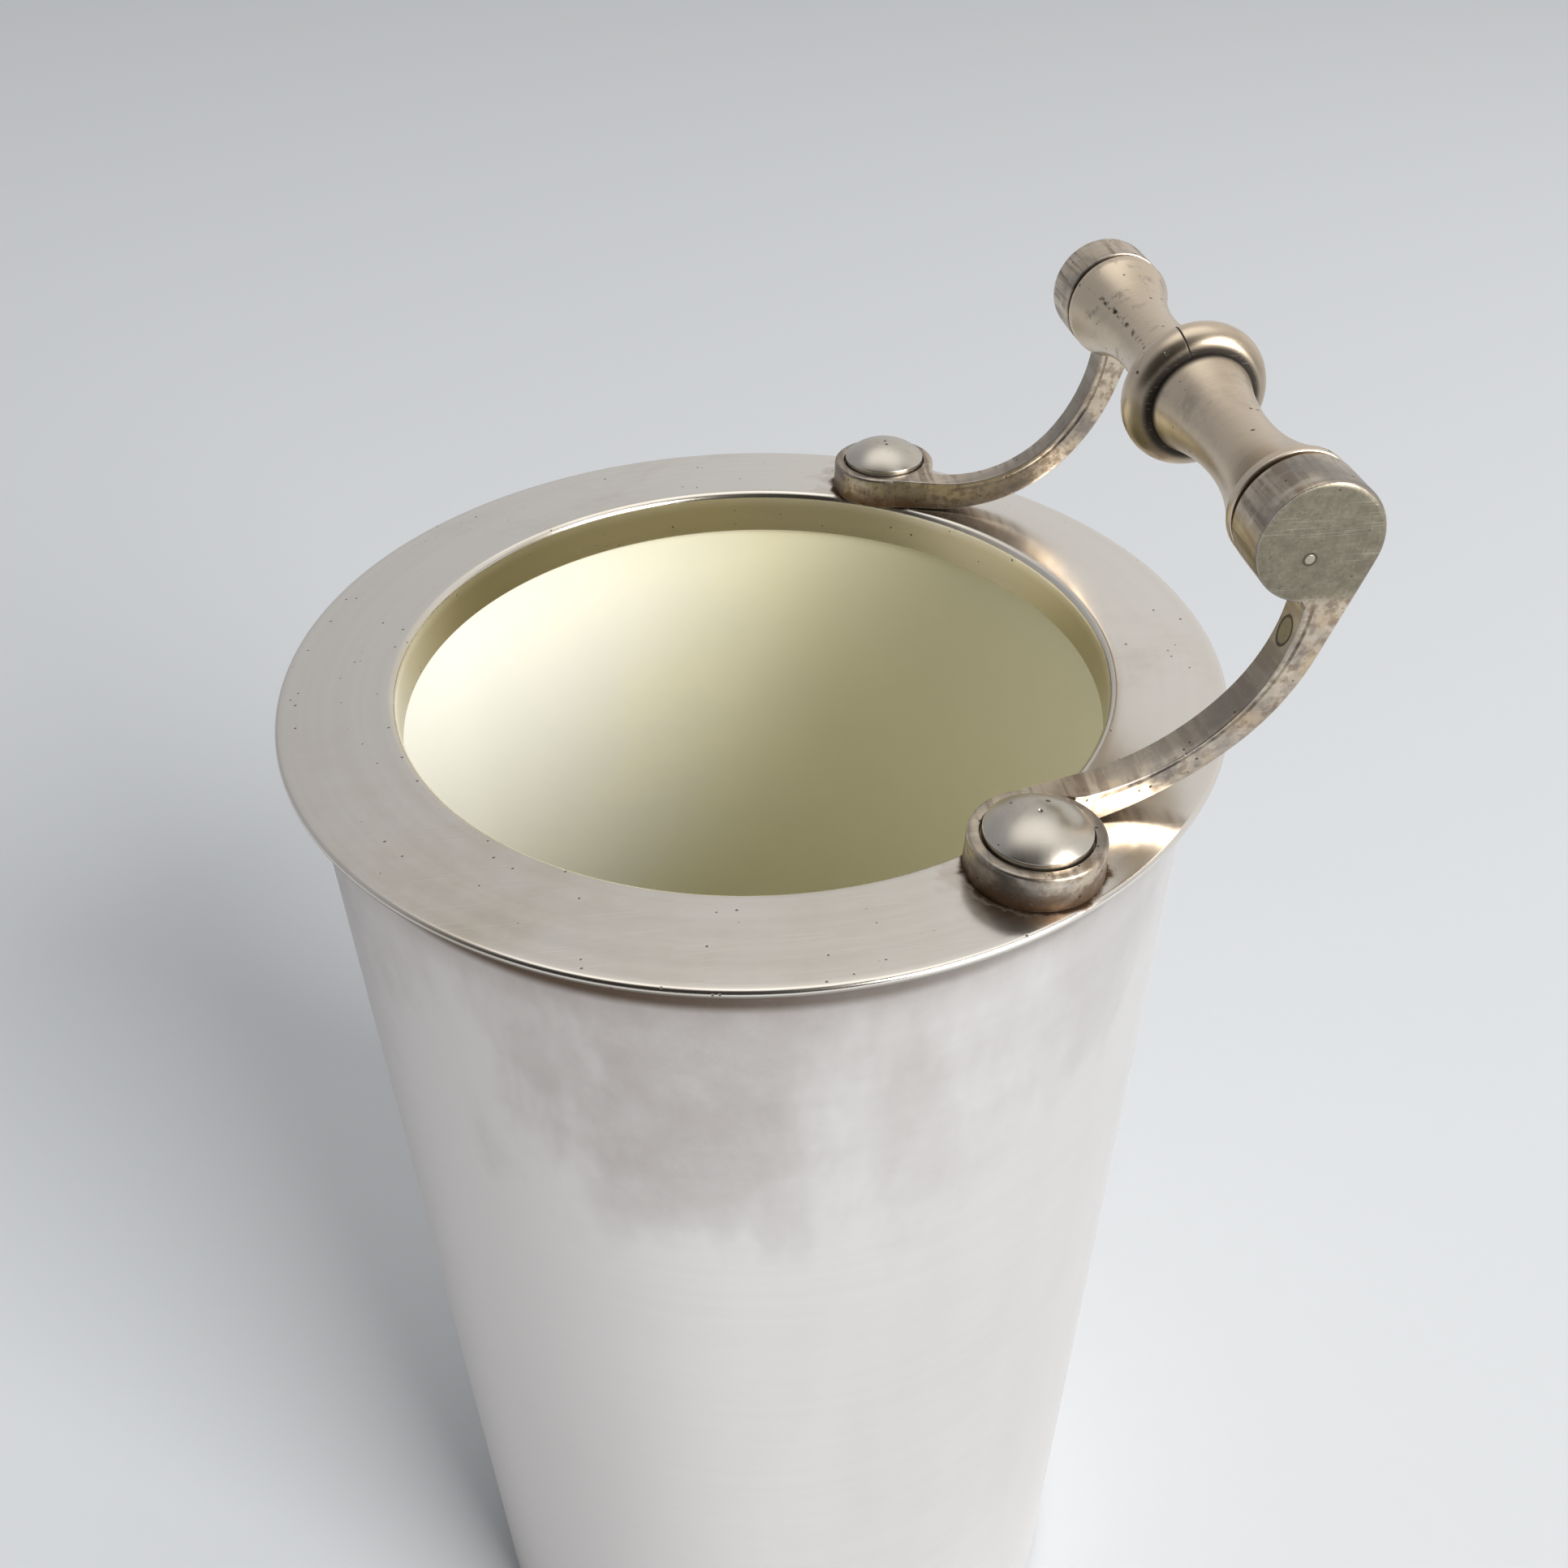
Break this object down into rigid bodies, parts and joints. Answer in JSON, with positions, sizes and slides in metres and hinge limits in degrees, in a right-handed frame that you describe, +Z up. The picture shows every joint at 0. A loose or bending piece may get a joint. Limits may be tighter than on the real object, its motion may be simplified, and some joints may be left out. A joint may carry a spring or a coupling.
{
  "type": "champagne bucket",
  "caption": "Tall insulated silver-plated champagne bucket: straight round body, flat ring brim, plastic liner and a spool-shaped lifting grip that turns between two curved arms.",
  "frame": {"origin": "on the bucket's axis, at the underside of its foot pad, where it stands", "axes": "+Z up along the bucket's axis; +X out to the side that carries the grip; +Y along the grip's axis"},
  "size_m": [0.1936, 0.19, 0.3947],
  "materials": {
    "silver_plate": "brushed and polished silver plate with light tarnish",
    "aged_silver": "satin silver plate, darker and more worn",
    "steel": "plain steel hardware",
    "cream_plastic": "smooth pale yellow-cream liner",
    "foam": "closed-cell insulation",
    "felt": "dark felt"
  },
  "bodies": {
    "bucket": {"base_pad": "felt", "outer_shell": "silver_plate", "inner_liner": "cream_plastic", "insulation_disc": "foam", "insulation_sleeve": "foam", "brim_ring": "silver_plate", "front_arm": "aged_silver", "rear_arm": "aged_silver", "front_screw": "silver_plate", "rear_screw": "silver_plate", "front_backing_plate": "steel", "rear_backing_plate": "steel", "front_washer": "steel", "rear_washer": "steel", "front_nut": "steel", "rear_nut": "steel", "axle_rod": "steel", "front_spacer": "steel", "rear_spacer": "steel", "front_pin": "steel", "rear_pin": "steel"},
    "grip": {"centre_ring": "silver_plate", "front_spool": "silver_plate", "rear_spool": "silver_plate"}
  },
  "joints": [
    {"name": "grip_spin", "type": "hinge", "parent": "bucket", "child": "grip", "pos_m": [0.0848, 0, 0.3809], "axis": [0, 1, 0], "continuous": true}
  ]
}
